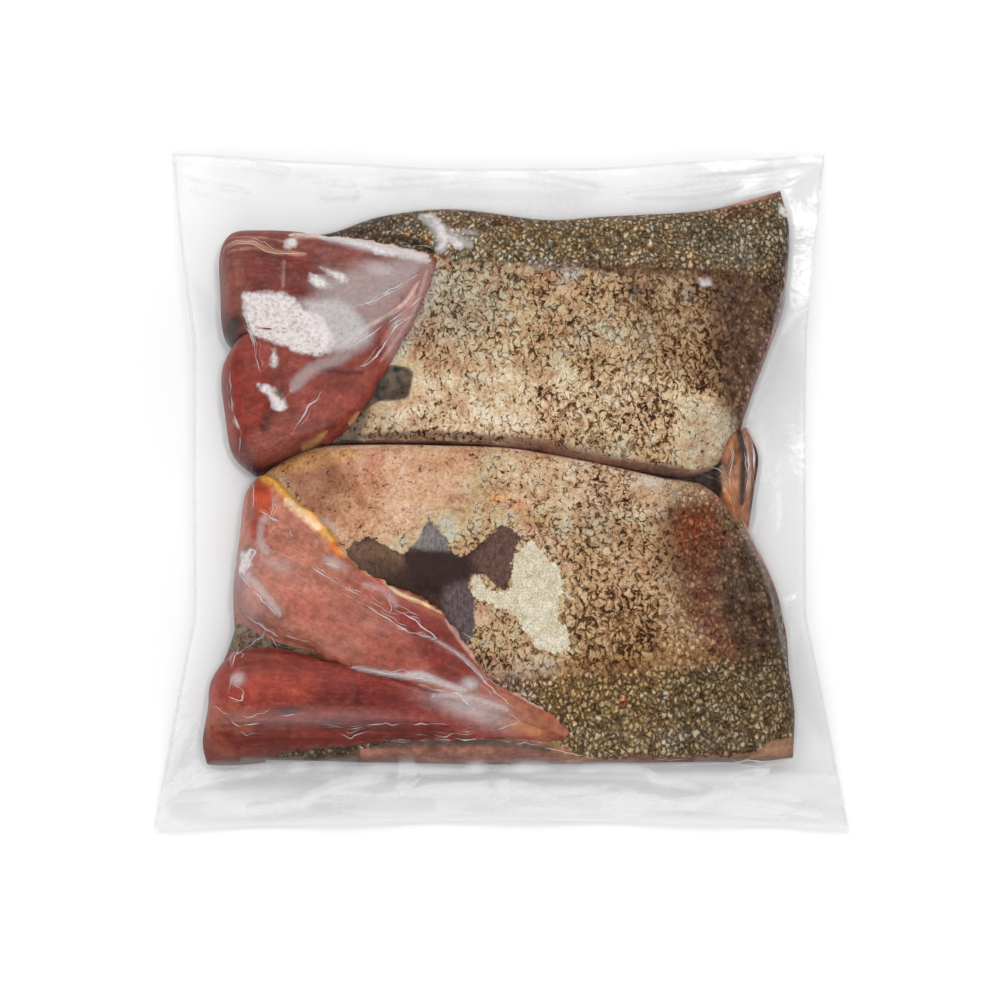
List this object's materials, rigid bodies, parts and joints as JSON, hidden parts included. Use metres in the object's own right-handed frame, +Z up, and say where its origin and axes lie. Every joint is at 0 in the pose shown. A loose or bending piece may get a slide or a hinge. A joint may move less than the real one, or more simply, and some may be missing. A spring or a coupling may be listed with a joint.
{
  "type": "vacuum-sealed pouch of fish fillets",
  "caption": "Flat clear pouch, sealed tight round skin-on fish fillets that lie side by side with their tail ends folded back over the skin.",
  "frame": {"origin": "middle of the pouch's footprint, on the surface that it lies on", "axes": "+X towards the thick ends of the fillets, +Y from the lower fillet to the upper one, +Z up"},
  "size_m": [0.302, 0.3124, 0.0388],
  "materials": {
    "clear_film": "clear glossy barrier film, drawn taut and wrinkled by the vacuum",
    "fish_skin": "scaled fish skin, tan to olive brown, wet under the film",
    "red_flesh": "raw dark red fish flesh with fine fibres, wet and slightly translucent",
    "pale_flesh": "raw pink to tan fish flesh at the cut edges and the underside, wet"
  },
  "bodies": {
    "root": {"sealed_pouch": "clear_film"}
  },
  "joints": []
}
